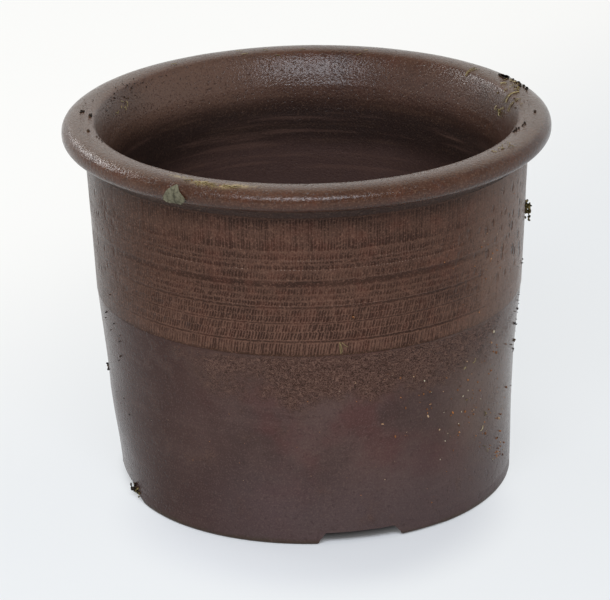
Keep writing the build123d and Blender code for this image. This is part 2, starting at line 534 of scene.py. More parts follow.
def addCreases(tree, look, place, colour, normal):
    # darker in the creases of the crawled glaze and lighter on its folds
    drift = evenNoise(place, look["crawlScale"], 4.0, 0.6)
    crawled = maths("MULTIPLY_ADD", drift, look["crawlDrift"], attributeOf(tree, "crawled"))
    crawled = ramp(crawled, *look["crawlEdges"])
    folded = stretched(place, *look["creaseStretch"])
    crease = evenNoise(folded, look["creaseScale"], 1.0, 0.5, look["creaseTwist"])
    crease = ramp(maths("ABSOLUTE", crease), *look["creaseEdges"])
    folds = blendColour(crease, look["creaseColour"], look["foldColour"])
    colour = blendColour(times(crawled, look["creaseShare"]), colour, folds)
    return colour, bumpOf(times(crease, crawled), 1.0, look["creaseDepth"] * mm, Normal=normal)


def glazeOf(name, look):
    material, tree, shader, place = newMaterial(name)
    colour = mottledGlaze(tree, look, place, tintedGlaze(tree, look, place))
    normal = plainSkin(tree, look, place)
    for needed, addMarks in (("dimpleSize", addDimples), ("cutDark", addStrokes), ("pitScale", addPits),
                             ("ringShare", addRingGlints), ("creaseScale", addCreases)):
        if needed in look:
            colour, normal = addMarks(tree, look, place, colour, normal)
    gloss = noiseOf(place, look["glossScale"], 3.0, 0.6)
    rough = ramp(gloss, *glazeSkin["glossEdges"], *look["roughness"])
    for attribute, amount in look.get("duller", ()):
        rough = maths("MULTIPLY_ADD", attributeOf(tree, attribute), amount, rough)
    for label, value in (("Base Color", colour), ("Roughness", rough), ("Normal", normal)):
        tree.links.new(value, shader.inputs[label])
    shader.inputs["Specular IOR Level"].default_value = look["shine"]
    return material


# Each zone tints the glaze: axis, from and to what place on it, how far its edge wanders, share
# and colour, then the attribute that it keeps to, and the scale and threshold of its breaks.
insideZones = [
    ("height", 279, 264, 5, 0.5, rgb(85, 67, 61), "inside"),
    ("right", 0, -70, 30, 0.7, rgb(106, 82, 70), "inside"),
    ("height", 256, 232, 10, 0.96, rgb(42, 31, 28), "inside"),
    ("height", 218, 196, 20, 0.75, rgb(85, 64, 59), "inside"),
    # painted shade: the steep inner lip and the deep inside walls are darker at the left and right
    ("sides", 112, 140, 8, 0.45, rgb(42, 29, 24), "steep"),
    ("sides", 50, 135, 20, 0.68, rgb(38, 27, 24), "deep"),
]
rimLook = {
    "base": rgb(78, 51, 38), "dark": rgb(62, 38, 27), "light": rgb(106, 80, 64),
    "warm": rgb(86, 48, 34), "warmScale": 60.0, "warmShare": 0.4,
    "zones": [("height", 272, 276, 4, 0.35, rgb(86, 63, 44), "onTop"),
              ("sides", 80, 150, 30, 0.5, rgb(88, 63, 42), "onTop"),
              # painted shade: the underside of the roll is darkened
              ("height", 0, 10, 0, 0.7, rgb(52, 28, 18), "under"),
              ("height", 0, 10, 0, 0.95, rgb(164, 142, 96), "dust", (300.0, 0.38)),
              # a pale smear along the collar at the left front, partly dirt and partly a painted reflection
              # along the collar's edge
              ("height", 0, 10, 0, 0.5, rgb(92, 88, 72), "smear", (120.0, 0.46))] + insideZones,
    "cloudScale": 22.0, "streaks": 0.15, "mottle": 0.65, "mottleScale": 700.0, "glossScale": 60.0,
    "pitScale": 420.0, "pitShare": 0.5, "pitColour": rgb(52, 34, 27),
    # painted highlight: light streaks along the throwing rings inside
    "ringShare": 0.5, "ringColour": rgb(104, 78, 68),
    "roughness": (0.1, 0.17), "shine": 0.3, "peelScale": 640.0, "peel": 0.65, "grain": 0.2,
    "duller": [("inside", 0.07), ("deep", 0.25), ("under", 0.2)],
}
bandLook = {
    "base": rgb(66, 44, 34), "dark": rgb(52, 33, 25), "light": rgb(114, 83, 68),
    "warm": rgb(81, 45, 34), "warmScale": 55.0, "warmShare": 0.5,
    # painted shadow: the top of the band is darker under the rim's collar
    "zones": [("height", 249, 254, 3, 0.45, rgb(46, 28, 21)), ("height", 154, 150.5, 8, 1.0, rgb(58, 38, 27)),
              # painted sheen: the band's right side is lighter
              ("right", -45, -125, 60, 0.9, rgb(56, 31, 17)), ("right", 92, 150, 60, 0.8, rgb(124, 99, 84))],
    "cloudScale": 30.0, "streaks": 0.2, "mottle": 0.7, "mottleScale": 750.0, "glossScale": 45.0,
    "roughness": (0.2, 0.3), "shine": 0.11, "peelScale": 620.0, "peel": 0.35, "grain": 0.3,
    # dark glaze in the cuts
    "cutDark": rgb(52, 30, 22), "cutShare": 0.7, "cutEdges": (0.2, 0.95),
    "cutScratch": (0.62, 0.4, 0.45, 1.0), "scratchScale": 900.0, "scratchStretch": (1.0, 0.35),
    "grooveEdges": (0.05, 0.5), "grooveShare": 0.5,
    # light glaze on the lands between, most of it low on the band
    "landEdges": (0.3, 0.02), "landGroove": (0.25, 0.0), "landScratch": (0.35, 0.6, 0.35, 1.0),
    "wornHeights": (205, 165), "landShares": (0.45, 0.85),
    "dimpleSize": 0.0068, "dimpleShare": 0.85, "dimpleDepth": 1.4, "dimpleStretch": (1.0, 0.62),
    "dimpleScatter": 0.8, "dimplesFull": 0.8, "dimpleReach": (0.08, 0.46), "dimpleEdge": 0.22,
    # painted highlight: the light colour of the glints on the ledge beads
    "bead": rgb(172, 152, 138), "beadShares": (0.1, 0.9), "beadScale": 45.0, "beadStretch": (1.0, 0.3),
    "beadEdges": (0.4, 0.6), "beadCore": (0.45, 0.95),
}
wallLook = {
    "base": rgb(87, 67, 62), "dark": rgb(68, 51, 47), "light": rgb(112, 92, 84),
    "warm": rgb(82, 47, 44), "warmScale": 18.0, "warmShare": 0.6,
    # painted sheen: the wall's right side is lighter
    "zones": [("right", 80, 140, 50, 0.6, rgb(108, 90, 78)), ("height", 80, 20, 50, 0.8, rgb(81, 66, 65)),
              ("height", 105, 140, 40, 0.6, rgb(82, 60, 50)), ("right", -35, -112, 60, 0.9, rgb(56, 33, 27))],
    "cloudScale": 14.0, "streaks": 0.12, "mottle": 0.32, "mottleScale": 800.0, "glossScale": 18.0,
    "pitScale": 330.0, "pitShare": 0.25, "pitColour": rgb(54, 36, 32),
    "crawlScale": 40.0, "crawlDrift": 1.2, "crawlEdges": (0.08, 0.5),
    "creaseScale": 520.0, "creaseStretch": (1.0, 1.5), "creaseTwist": 1.4, "creaseEdges": (0.012, 0.08),
    "creaseShare": 0.95, "creaseColour": rgb(54, 35, 28), "foldColour": rgb(108, 80, 68), "creaseDepth": 0.5,
    "roughness": (0.16, 0.25), "shine": 0.13, "peelScale": 420.0, "peel": 0.35, "grain": 0.35,
}
floorLook = {
    "base": rgb(62, 45, 38), "dark": rgb(44, 32, 27), "light": rgb(96, 80, 66),
    "warm": rgb(74, 50, 36), "warmScale": 40.0, "warmShare": 0.5, "zones": [],
    "cloudScale": 14.0, "streaks": 0.0, "mottle": 0.6, "mottleScale": 500.0, "glossScale": 30.0,
    "roughness": (0.5, 0.7), "shine": 0.3, "peelScale": 420.0, "peel": 0.3, "grain": 0.4,
}
footLook = dict(wallLook, roughness=(0.22, 0.34), zones=wallLook["zones"][1:] + [
    ("height", 5, 0.5, 6, 0.7, rgb(62, 52, 36))])
rimGlaze = glazeOf("rimGlaze", rimLook)
bandGlaze = glazeOf("bandGlaze", bandLook)
wallGlaze = glazeOf("wallGlaze", wallLook)
floorGlaze = glazeOf("floorGlaze", floorLook)
footClay = glazeOf("footClay", footLook)
print("glazes mixed")


rolledRim = {
    "columns": 900, "collarRadius": 163.3, "collarTop": 261.5, "collarRows": 6,
    "rollMiddle": 270.0, "rollRadius": rimRadius - 0.35, "rollFullness": 0.86, "rollRows": 14,
    "crestRadius": 165.0, "crestHeight": crestHeight - 0.8, "topFullness": 0.82, "topRows": 16,
    "flatEnd": 158.4, "shoulder": (155.2, 2.5), "shoulderTilt": 38, "shoulderReach": 1.3, "shoulderRows": 9,
    "slopeReach": 10.0, "neckTilt": 20, "neckReach": 6.0, "slopeRows": 17,
    "insideFade": 12,
    # size and height of the slow swell, the throwing rings and the peel of the glaze, as in every piece
    "swell": (45, 0.5), "ring": (4, 0.16), "peel": (2.4, 0.14),
    # how far the face looks up where the top starts and the steep part ends, and their fades
    "topTilt": (0.86, 0.1), "steepTilt": (0.82, 0.25), "underDrop": 1, "underFade": 5,
    # middle angle, spread, millimetres outwards from the crest, spread
    "dust": [(-32, 3, 1.0, 1.6), (-25, 3, 5.0, 2.6), (-16, 3.5, 3.5, 2.6), (-20, 2, 7.0, 2.0)],
    # the pale smear is partly a painted reflection along the collar's edge
    "smear": [(-46, 10, 33, 5), (-30, 6, 30, 5)],
}


def arcPoints(centre, size, fromAngle, toAngle, count):
    turns = np.radians(np.linspace(fromAngle, toAngle, count))
    return [(centre[0] + size * cos(t), centre[1] + size * sin(t)) for t in turns]


def bezierPoints(a, b, c, d, count):
    t = np.linspace(0, 1, count)[:, None]
    a, b, c, d = map(np.array, (a, b, c, d))
    return ((1 - t) ** 3 * a + 3 * (1 - t) ** 2 * t * b + 3 * (1 - t) * t * t * c + t ** 3 * d).tolist()


def rimSection(sizes):
    # up the collar, round the roll, over the crest and down the lip; also the crest's row
    collar, bottom, middle = sizes["collarRadius"], sizes["collarTop"], sizes["rollMiddle"]
    roll, crestAt, crest = sizes["rollRadius"], sizes["crestRadius"], sizes["crestHeight"]
    full, top = sizes["rollFullness"], sizes["topFullness"]
    points = [(collar, h) for h in np.linspace(neckHeight, bottom, sizes["collarRows"])]
    for t in np.radians(np.linspace(-90, 0, sizes["rollRows"]))[1:]:
        points.append((collar + (roll - collar) * cos(t) ** full,
                       middle - (middle - bottom) * max(0, -sin(t)) ** full))
    for t in np.radians(np.linspace(0, 90, sizes["topRows"]))[1:]:
        points.append((crestAt + (roll - crestAt) * max(0, cos(t)) ** top,
                       middle + (crest - middle) * sin(t) ** top))
    crestRow = len(points) - 1
    shoulder = np.array((sizes["shoulder"][0], crest - sizes["shoulder"][1]))
    neck = np.array((float(insideRadius(neckHeight)), neckHeight))
    tilt, neckTilt = radians(sizes["shoulderTilt"]), radians(sizes["neckTilt"])
    fall = np.array((sin(tilt), cos(tilt)))
    points += bezierPoints((crestAt, crest), (sizes["flatEnd"], crest),
                           shoulder + sizes["shoulderReach"] * fall, shoulder, sizes["shoulderRows"])[1:]
    points += bezierPoints(shoulder, shoulder - sizes["slopeReach"] * fall,
                           neck + sizes["neckReach"] * np.array((sin(neckTilt), cos(neckTilt))), neck,
                           sizes["slopeRows"])[1:]
    return points, crestRow


def pathOf(run):
    return np.concatenate([[0], np.cumsum(np.hypot(*np.diff(run[:, :2], axis=0).T))])


def makeRim(sizes):
    points, crestRow = rimSection(sizes)
    run = faceRun(points)
    run[-3:, 2:4] *= [[0.7], [0.35], [0.0]]      # true where it meets the wall
    rows = np.arange(len(run))
    run[:, 4] = clipped((sizes["crestRadius"] - run[:, 0]) / sizes["insideFade"]) * (rows > crestRow)
    columns = sizes["columns"]
    spots, pushes, inside = spinRun(run, polar(columns))
    faces = gridFaces(0, len(run), columns)
    faces += jointFaces(0, columns, (len(run) - 1) * columns, columns, False)
    path = pathOf(run)
    outwards = path[crestRow] - path
    front = frontAngles(columns)

    def patchOf(places):
        return sum(bell(front, middle, spread)[None, :] * np.exp(-((outwards - away) / half) ** 2)[:, None]
                   for middle, spread, away, half in places).ravel()
    topTilt, topFade = sizes["topTilt"]
    steepTilt, steepFade = sizes["steepTilt"]
    steep = clipped((steepTilt - run[:, 3]) / steepFade) * (rows > crestRow)
    # the underside of the roll, which gets painted shade in its colour and a duller gloss
    under = clipped((sizes["rollMiddle"] - sizes["underDrop"] - run[:, 1]) / sizes["underFade"])
    under *= rows < crestRow
    values = {"push": pushes, "inside": inside,
              "steep": steep.repeat(columns), "under": under.repeat(columns),
              "onTop": clipped((run[:, 3] - topTilt) / topFade).repeat(columns),
              "dust": patchOf(sizes["dust"]), "smear": patchOf(sizes["smear"])}
    return fired(makeObject("rolledRim", spots, faces, values), sizes, rimGlaze, rimGlaze)


rim = makeRim(rolledRim)
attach(rim, "root")
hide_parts("rim_coil")
print("rolled rim made")


# A sprung tool cut the strokes. Each register lists height and bite from the top down, and
# ends at an edge of uncut clay. Lean is how far its strokes slant, in strokes, and bead glint
# is how much glaze hangs in beads along that edge and how much painted highlight they get.
chatteredWall = {
    "strokes": 468, "perStroke": (0.0, 1.0, 0.45), "beadShape": (1.0, 0.1, 0.25), "insideColumns": 234,
    "insideRows": 20, "insideCrowding": 1.7, "baseRadius": 157.7, "topRadius": 162.0, "smoothAngle": 68,
    "biteDepth": 0.36, "beadHeight": 0.45, "beadLeast": 0.3, "beadDrop": 0.6, "seed": 11,
    "phaseJitter": 0.2, "phaseMost": 0.25, "endJitter": 0.24, "endMost": 0.3, "raggedUp": 8,
    "slowWave": 0.45, "ownWave": 0.14, "fadeNear": 12,
    "swell": (50, 0.6), "ring": (3, 0.1), "peel": (6, 0.1), "patchSize": 11, "skinSeed": 7,
    "registers": [
        {"rows": [(253.6, 0), (252.9, 1.0), (250.6, 0.5), (245, 0.32), (238, 0.32), (231.6, 0.9),
                  (230.4, 0.9), (229.7, 0)], "lean": -0.1, "bead": 0.7},
        {"rows": [(226.8, 0.5), (224.2, 0.9), (222.9, 0)], "lean": -0.1, "bead": 0.8},
        {"rows": [(221.4, 0.6), (220.7, 0.7), (220.1, 0)], "lean": 0.0, "bead": 0.7},
        {"rows": [(218.6, 0.5), (217.0, 1.0), (216.4, 0.9), (215.7, 0)], "lean": -0.1, "bead": 1.0},
        {"rows": [(212, 0.5), (208.8, 0.6), (208.1, 0)], "lean": -0.2, "bead": 0.8},
        {"rows": [(202.2, 0), (200.4, 0.55), (197.9, 0.7), (197.2, 0)], "lean": -0.25, "bead": 0.6},
        {"rows": [(195, 0.7), (193.3, 0.8), (192.6, 0)], "lean": -0.3, "bead": 0.7},
        {"rows": [(190.8, 0.8), (189.2, 1.0), (188.5, 0)], "lean": -0.3, "bead": 0.8},
        {"rows": [(185.7, 0), (184.8, 0.75), (181.4, 0.8), (180.8, 0.1)], "lean": -0.5, "bead": 0.0},
        {"rows": [(180.2, 0.8), (176.8, 0.9), (176, 0)], "lean": -0.5, "bead": 0.2},
        {"rows": [(174.4, 0), (173.6, 0.75), (169.2, 0.85), (168.6, 0.1)], "lean": -0.65, "bead": 0.0},
        {"rows": [(168.0, 0.85), (163.2, 0.95), (162.4, 0)], "lean": -0.7, "bead": 0.2},
        {"rows": [(160.0, 0), (159.2, 0.5), (155, 0.5), (151.8, 0.55), (150.9, 0.5)], "lean": -0.7,
         "bead": 0.0}],
    # middle, half width and depth; a wide one has rows half-way down its sides
    "grooves": [(205.1, 2.9, 0.5), (187.1, 1.4, 0.5), (175.2, 0.8, 0.4), (161.2, 1.2, 0.6)],
    "wideGroove": 2, "grooveSide": 0.55,
    # middle angle, spread and share of where the grooves run deep
    "grooveDeep": [(34, 26, 0.65), (-56, 24, 0.35)], "grooveLeast": 0.25, "grooveFaded": 0.25,
    "fades": [(-78, 30, 0.85), (84, 36, 0.9), (200, 20, 0.4)], "skips": [(76, 32, 1.0), (-84, 20, 0.7)],
    "skipHeights": (172, 250), "skipFade": 12, "workedFrom": 0.6, "workedFade": 1.5, "workedGain": (1.3, 0.3),
}


def bandRows(sizes):
    # height, bite, lean, register number and bead glint of each row, from the ground up
    rows = [(neckHeight, 0.0, 0.0, 0, 0.0), (joinHeight, 0.0, 0.0, 0, 0.0)]
    for number, register in enumerate(sizes["registers"], 1):
        heights = [height for height, bite in register["rows"]]
        top, tall = heights[0], heights[0] - heights[-1]
        for height, bite in register["rows"]:
            slant = register["lean"] * (0.5 - (top - height) / tall)
            rows.append((height, bite, slant, number, 0.0))
        rows[-1] = rows[-1][:4] + (register["bead"],)
        if register["bead"] > sizes["beadLeast"]:
            rows.append((heights[-1] - sizes["beadDrop"], 0.0, slant, number, 0.0))
    for middle, half, depth in sizes["grooves"]:
        side = half * sizes["grooveSide"]
        for away in (0, -side, side) if half > sizes["wideGroove"] else (0,):
            rows.append((middle + away, 0.0, 0.0, 0, 0.0))
    return sorted(rows)


def makeBand(sizes):
    heights, bite, lean, numbers, bead = np.array(bandRows(sizes)).T
    numbers = numbers.astype(int)
    radius = sizes["baseRadius"] + (sizes["topRadius"] - sizes["baseRadius"]) * upTheBand(heights)
    groove = np.zeros(len(heights))
    for middle, half, depth in sizes["grooves"]:
        groove = np.maximum(groove, depth * clipped(1 - ((heights - middle) / half) ** 2))
    outer = faceRun(np.column_stack([radius, heights]))
    outer[:, 2], outer[:, 3] = 1.0, 0.0
    down = np.linspace(0, 1, sizes["insideRows"]) ** sizes["insideCrowding"]
    innerHeights = neckHeight - (neckHeight - joinHeight) * down
    inner = faceRun(np.column_stack([insideRadius(innerHeights), innerHeights]), 1.0)

    strokes, profile = sizes["strokes"], np.array(sizes["perStroke"])
    columns = strokes * len(profile)
    around = polar(columns)
    draw = np.random.default_rng(sizes["seed"])
    registers = len(sizes["registers"]) + 1

    def jitter(spread, most):
        # one draw for each stroke of each register
        return np.clip(draw.normal(0, spread, (registers, strokes)), -most, most).repeat(len(profile), 1)

    slip = jitter(sizes["phaseJitter"], sizes["phaseMost"])
    slip += draw.uniform(0, 1, (registers, 1))
    slip[0] = 0
    angles = (np.arange(columns)[None, :] / len(profile) - lean[:, None] + slip[numbers]) * 2 * pi / strokes
    # the edges of the registers wander and are ragged, but both ends of the wall are true
    ragged = jitter(sizes["endJitter"], sizes["endMost"])
    ragged[0] = 0
    start = draw.uniform(0, 2 * pi, registers)
    turns = draw.integers(2, 5, registers)
    slow = sizes["slowWave"] * (np.sin(around + 1.0) + np.sin(2 * around + 4.0)) / 2
    own = sizes["ownWave"] * np.sin(turns[:, None] * around[None, :] + start[:, None])
    keep = clipped(np.minimum(heights - joinHeight, neckHeight - heights) / sizes["fadeNear"])[:, None]
    lift = keep * (slow[None, :] + own[numbers]) + clipped(keep * sizes["raggedUp"]) * ragged[numbers]

    front = frontAngles(columns)
    strength = np.ones(columns)
    for middle, spread, loss in sizes["fades"]:
        strength -= loss * bell(front, middle, spread)
    low, high = sizes["skipHeights"]
    skipRows = clipped(np.minimum(heights - low, high - heights) / sizes["skipFade"])
    deep = sizes["grooveLeast"] + bells(front, sizes["grooveDeep"])
    faded = sizes["grooveFaded"]
    grooves = groove[:, None] * ((faded + (1 - faded) * strength) * deep)[None, :]
    beadGlints = bead[:, None] * np.tile(sizes["beadShape"], strokes)[None, :] * strength[None, :]
    stroke = bite[:, None] * np.tile(profile, strokes)[None, :] * strength[None, :]
    stroke -= beadGlints * sizes["beadHeight"]
    edge = clipped((heights - joinHeight - sizes["workedFrom"]) / sizes["workedFade"])
    gain, loss = sizes["workedGain"]
    worked = ((numbers > 0) * edge)[:, None] * clipped(strength * gain - loss)[None, :]
    # every stroke has a number of its own
    number = numbers[:, None] * 1000 + (np.arange(columns) // len(profile))[None, :]
    wall = shellOf("chatteredWall", outer, inner, angles, sizes["insideColumns"], {
        "stroke": stroke, "strokeNumber": number, "bead": beadGlints, "groove": grooves, "worked": worked,
        "skipped": skipRows[:, None] * bells(front, sizes["skips"])[None, :]}, sizes["smoothAngle"], lift)
    return fired(wall, sizes, bandGlaze, rimGlaze, {
        "Bite Depth": sizes["biteDepth"] * mm, "Patch Size": sizes["patchSize"] * mm,
        "Seed": sizes["skinSeed"]})


band = makeBand(chatteredWall)
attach(band, "root")
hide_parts("upper_wall")
print("chattered wall made")


smoothWall = {
    "columns": 900, "insideColumns": 300, "insideRows": 14, "plainRows": 36, "crawledRows": 62,
    "heelRadius": 150.0, "joinRadius": 157.4, "hollow": 1.2, "insideHeel": 139.0,
    "topEdge": 0.2, "topStep": 0.2, "swell": (50, 0.6), "ring": (6, 0.22), "peel": (5, 0.12),
    "crawlMiddle": 18, "crawlSpread": 40, "crawlLow": 96, "crawlTop": 152, "crawlFade": 4,
    "wrinkle": (3.4, 0.35),
}


def lowerRadius(share, sizes):
    # a straight wall, hollowed most half-way up
    return sizes["heelRadius"] + (sizes["joinRadius"] - sizes["heelRadius"]) * share \
        - sizes["hollow"] * 4 * share * (1 - share)


def makeLowerWall(sizes):
    # the rows lie closer where the glaze crawled
    tall = joinHeight - footHeight
    heights = np.concatenate([np.linspace(footHeight, sizes["crawlLow"], sizes["plainRows"], endpoint=False),
                              np.linspace(sizes["crawlLow"], joinHeight, sizes["crawledRows"])])
    radius = lowerRadius((heights - footHeight) / tall, sizes)
    points = np.column_stack([radius, heights])
    points[-1, 1] -= sizes["topEdge"]
    outer = faceRun(np.vstack([points, [(radius[-1] - sizes["topStep"], heights[-1])]]))
    outer[:, 2], outer[:, 3] = 1.0, 0.0
    innerShare = np.linspace(1, 0, sizes["insideRows"])
    innerRadius = sizes["insideHeel"] + (insideShape["join"] - sizes["insideHeel"]) * innerShare
    inner = faceRun(np.column_stack([innerRadius, footHeight + tall * innerShare]), 1.0)
    inner[:, 2], inner[:, 3] = -1.0, 0.0

    upTheCrawl = (outer[:, 1] - sizes["crawlLow"]) / (sizes["crawlTop"] - sizes["crawlLow"])
    around = bell(frontAngles(sizes["columns"]), sizes["crawlMiddle"], sizes["crawlSpread"])
    crawled = clipped(upTheCrawl)[:, None] * around[None, :] \
        * clipped((joinHeight - outer[:, 1]) / sizes["crawlFade"])[:, None]
    wall = shellOf("smoothWall", outer, inner, polar(sizes["columns"]), sizes["insideColumns"],
                   {"crawled": crawled})
    wrinkleSize, wrinkleHeight = sizes["wrinkle"]
    return fired(wall, sizes, wallGlaze, rimGlaze, {
        "Wrinkle Size": wrinkleSize * mm, "Wrinkle Height": wrinkleHeight * mm})


lowerWall = makeLowerWall(smoothWall)
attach(lowerWall, "root")
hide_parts("lower_wall")
print("lower wall made")


potFloor = {
    "columns": 360, "top": 22.0, "drain": 12.5, "drainEdge": 2.0, "drainTurns": (0, 30, 60, 90),
    "coveTop": 37.0, "coveWidth": 15.0, "coveRows": 9, "coveDip": 2.5, "coveLean": 0.7,
    "insideSlope": 7.8 / 141.0, "ringPitch": 7.0, "ringHeight": 0.45, "ringRows": 90, "ringFade": 10,
    "smoothAngle": 50, "swell": (30, 0.6), "ring": (4, 0), "peel": (5, 0.2),
}


def makeFloor(sizes):
    top, drain, edge, coveTop = sizes["top"], sizes["drain"], sizes["drainEdge"], sizes["coveTop"]
    ring = sizes["ringHeight"]

    def insideAt(height):
        return smoothWall["insideHeel"] + sizes["insideSlope"] * (height - footHeight)
    coveFoot = insideAt(top) - sizes["coveWidth"]
    points = [(drain, footHeight)] + [(insideAt(height), height) for height in (footHeight, top, coveTop)]
    for t in np.linspace(0, 1, sizes["coveRows"])[1:-1]:
        dip = sizes["coveDip"] * 4 * t * (1 - t) * sizes["coveLean"]
        radius = insideAt(coveTop) + (coveFoot - insideAt(coveTop)) * t
        points.append((radius + dip, coveTop + (top - coveTop) * t - dip))
    for radius in np.linspace(coveFoot, drain + edge + 1, sizes["ringRows"]):
        fade = min(1, (radius - drain - edge) / sizes["ringFade"])
        points.append((radius, top + ring * sin(2 * pi * radius / sizes["ringPitch"]) * fade - ring))
    for t in np.radians(sizes["drainTurns"]):
        points.append((drain + edge * (1 - sin(t)), top - ring - edge * (1 - cos(t))))
    run = faceRun(points, 1.0)
    run[:3, 2:4] = 0      # the underside and the wall's joint stay true
    run[-1, 2:4] = 0
    columns = sizes["columns"]
    spots, pushes, inside = spinRun(run, polar(columns))
    faces = gridFaces(0, len(run), columns)
    last = (len(run) - 1) * columns
    faces += [[last + j, last + (j + 1) % columns, (j + 1) % columns, j] for j in range(columns)]
    floor = makeObject("potFloor", spots, faces, {"push": pushes, "inside": inside}, sizes["smoothAngle"])
    return fired(floor, sizes, floorGlaze, floorGlaze)


floorPiece = makeFloor(potFloor)
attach(floorPiece, "root")
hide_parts("floor_slab")
print("floor made")


footRing = {
    "outer": 150.0, "outerHeights": (3.2, 5.2, 7.2), "innerTop": 128.0, "innerGround": 132.0,
    # inwards from the outer face and outwards from the inner one: joint, slope and tread
    "jointStep": 11, "innerSlope": [(1.3, 6.0), (2.6, 3.0)], "treadStep": 7, "edge": 1.5, "columns": 150,
    "notchGround": 64.0, "notchTop": 50.0, "firstNotch": 13.0, "ragged": 0.5, "seed": 31, "smoothAngle": 40,
    # the foot whose first end is worn back, and by how much at the ground
    "wornFoot": 3, "wornBack": 17.0, "wornTo": 7.5, "wornCurve": 1.5,
    # a flake off the outer edge: from and to what angle, how high, and how far outside the inner face
    "flake": (18.0, 40.0, 0.6), "flakeBeyond": 4,
    "names": ("footFrontRight", "footBackRight", "footBackLeft", "footFrontLeft"),
    "nodes": ("foot_front_right", "foot_back_right", "foot_back_left", "foot_front_left"),
    "swell": (30, 0.5), "ring": (4, 0), "peel": (3, 0.3),
}


def footSection(sizes):
    edge, outer, inner, innerTop = sizes["edge"], sizes["outer"], sizes["innerGround"], sizes["innerTop"]
    points = arcPoints((outer - edge, edge), edge, -90, 0, 5)
    points += [(outer, height) for height in (*sizes["outerHeights"], footHeight)]
    points += [(innerTop + sizes["jointStep"], footHeight), (innerTop, footHeight)]
    points += [(innerTop + step, height) for step, height in sizes["innerSlope"]]
    points += arcPoints((inner + edge, edge), edge, 180, 270, 4)
    points += [(inner + sizes["treadStep"], 0.0), (outer - sizes["treadStep"], 0.0)]
    return points


def makeFoot(sizes, index):
    middle, columns, wide = sizes["firstNotch"] + 90 * index, sizes["columns"], sizes["notchGround"]
    section = np.array(footSection(sizes))
    out = np.zeros_like(section)
    out[3:9, 0] = 1.0      # only the outer face is uneven
    draw = np.random.default_rng(sizes["seed"] + index)
    spots, pushes = [], []
    flakeFrom, flakeTo, flakeHeight = sizes["flake"]
    for step in range(columns + 1):
        for (radius, height), (pushOut, pushUp) in zip(section, out):
            half = (wide + (sizes["notchTop"] - wide) * height / footHeight) / 2
            if step in (0, columns) and 0 < height < footHeight:
                half += draw.normal(0, sizes["ragged"])
            trim = degrees(asin(half / radius))
            worn = sizes["wornBack"] * max(0, 1 - (height / sizes["wornTo"]) ** sizes["wornCurve"])
            start = degrees(asin((half + (worn if index == sizes["wornFoot"] else 0)) / radius))
            turn = middle + start + (90 - start - trim) * (step / columns)
            flaked = max(0, 1 - ((turn - (flakeFrom + flakeTo) / 2) / ((flakeTo - flakeFrom) / 2)) ** 4)
            if radius > sizes["innerGround"] + sizes["flakeBeyond"]:
                height += flakeHeight * flaked * (1 - height / footHeight)
            spots.append(turned(turn, radius, height))
            pushes.append(turned(turn, pushOut, pushUp))
    ring = len(section)
    faces = []
    for step in range(columns):
        for k in range(ring):
            a, b = step * ring + k, step * ring + (k + 1) % ring
            faces.append([a, a + ring, b + ring, b])
    faces.append(list(range(ring)))
    faces.append([columns * ring + k for k in range(ring)][::-1])
    foot = makeObject(sizes["names"][index], spots, faces, {"push": np.array(pushes)}, sizes["smoothAngle"])
    return fired(foot, sizes, footClay, footClay)


for index, node in enumerate(footRing["nodes"]):
    foot = makeFoot(footRing, index)
    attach(foot, "root")
    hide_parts(node)
print("feet made")


# garden litter left on the pot: soil, grit, moss, dry straw and a scrap of leaf
rimPoints, crestRow = rimSection(rolledRim)
rimRun = faceRun(rimPoints)
rimPath = pathOf(rimRun)
litterSkin = {
    # how far crumbs that cling to other crumbs stand off the wall
    "clingHeight": 2.4,
    "middleTone": 0.6, "grainEdges": (0.45, 0.62), "roughEdges": (0.3, 0.7),
    "roughness": (0.75, 0.95), "bump": (0.6, 0.0003),
    # least and most stretch of a crumb, and the size of its lumps as a share of its own
    "flattest": (0.7, 0.5, 0.4), "roundest": (1.5, 1.0, 0.8), "lumpShare": 0.6,
    "allRound": (6.28, 6.28, 6.28),
    "wayOut": 9.0,      # metres sideways that no litter reaches
}


def onRim(angle, outwards, lift=0.0):
    # so many millimetres outwards from the crest, along the clay
    along = rimPath[crestRow] - outwards
    radius, height, out, up = (np.interp(along, rimPath, rimRun[:, k]) for k in range(4))
    return turned(angle, radius + lift * out, height + lift * up)


def onWall(angle, height, lift=0.0):
    if height > joinHeight:
        base, top = chatteredWall["baseRadius"], chatteredWall["topRadius"]
        radius = base + (top - base) * upTheBand(height)
    else:
        radius = lowerRadius(max(0, height - footHeight) / (joinHeight - footHeight), smoothWall)
    return turned(angle, radius + lift, height)


def offWall(angle, height, lift=0.0):
    # on top of the crumbs that cling to the wall
    return onWall(angle, height, lift + litterSkin["clingHeight"])


def litterOf(name, dark, middle, light, grainScale, grainShare, shine):
    material, tree, shader, place = newMaterial(name)
    tone = attributeOf(tree, "tone")
    colour = blendColour(ramp(tone, 0.0, litterSkin["middleTone"]), rgb(*dark), rgb(*middle))
    colour = blendColour(ramp(tone, litterSkin["middleTone"], 1.0), colour, rgb(*light))
    grain = noiseOf(place, grainScale, 3.0, 0.6)
    grainy = ramp(grain, *litterSkin["grainEdges"], 0.0, grainShare)
    rough = ramp(grain, *litterSkin["roughEdges"], *litterSkin["roughness"])
    for label, value in (("Base Color", blendColour(grainy, colour, rgb(*dark))), ("Roughness", rough),
                         ("Normal", bumpOf(grain, *litterSkin["bump"]))):
        tree.links.new(value, shader.inputs[label])
    shader.inputs["Specular IOR Level"].default_value = shine
    return material


